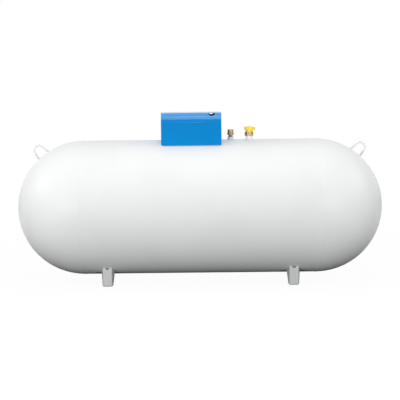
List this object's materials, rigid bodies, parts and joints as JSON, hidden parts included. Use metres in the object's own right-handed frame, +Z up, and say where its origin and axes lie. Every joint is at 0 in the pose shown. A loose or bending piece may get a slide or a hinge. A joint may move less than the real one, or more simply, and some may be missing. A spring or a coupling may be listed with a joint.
{
  "type": "horizontal pressure tank",
  "caption": "White horizontal gas storage tank with half-round heads, lifting loops, folded legs, a hinged blue valve hood and brass valves with a yellow cap.",
  "frame": {"origin": "on the ground below the middle of the tank", "axes": "+X along the tank to the right as seen from the front, +Y to the rear, +Z up"},
  "size_m": [2.83, 1.0424, 1.309],
  "materials": {
    "white_paint": "gloss white enamel on steel plate",
    "blue_paint": "gloss blue enamel on steel sheet",
    "plated_steel": "zinc plated steel",
    "brass": "turned and forged brass, slightly dulled",
    "yellow_plastic": "moulded yellow plastic",
    "cast_aluminium": "as-cast aluminium",
    "clear_lens": "clear moulded plastic",
    "green_enamel": "die-cast handwheel with green enamel",
    "grey_plastic": "soft moulded grey plastic"
  },
  "bodies": {
    "tank": {"shell_barrel": "white_paint", "head_left": "white_paint", "head_right": "white_paint", "lifting_lug_left": "white_paint", "lifting_lug_right": "white_paint", "leg_front_left": "white_paint", "leg_front_right": "white_paint", "leg_rear_left": "white_paint", "leg_rear_right": "white_paint", "hinge_bracket_left": "white_paint", "hinge_bracket_right": "white_paint", "liquid_valve_coupling": "white_paint", "fill_valve_coupling": "white_paint", "service_valve_coupling": "white_paint", "relief_valve_coupling": "white_paint", "gauge_pad": "white_paint", "hinge_pin_left": "plated_steel", "hinge_pin_right": "plated_steel", "liquid_valve_body": "brass", "liquid_valve_cap": "brass", "fill_valve_body": "brass", "service_valve_body": "brass", "relief_valve_body": "brass", "fill_valve_cap": "yellow_plastic", "fill_cap_lanyard": "yellow_plastic", "gauge_head": "cast_aluminium", "gauge_lens": "clear_lens", "service_handwheel": "green_enamel", "relief_valve_cap": "grey_plastic"},
    "hood": {"hood_cover": "blue_paint", "hood_end_left": "blue_paint", "hood_end_right": "blue_paint", "hinge_strap_left": "blue_paint", "hinge_strap_right": "blue_paint"}
  },
  "joints": [
    {"name": "hood_hinge", "type": "hinge", "parent": "tank", "child": "hood", "pos_m": [-0.061, 0.205, 1.07789], "axis": [-1, 0, 0], "range_deg": [0, 110]}
  ]
}
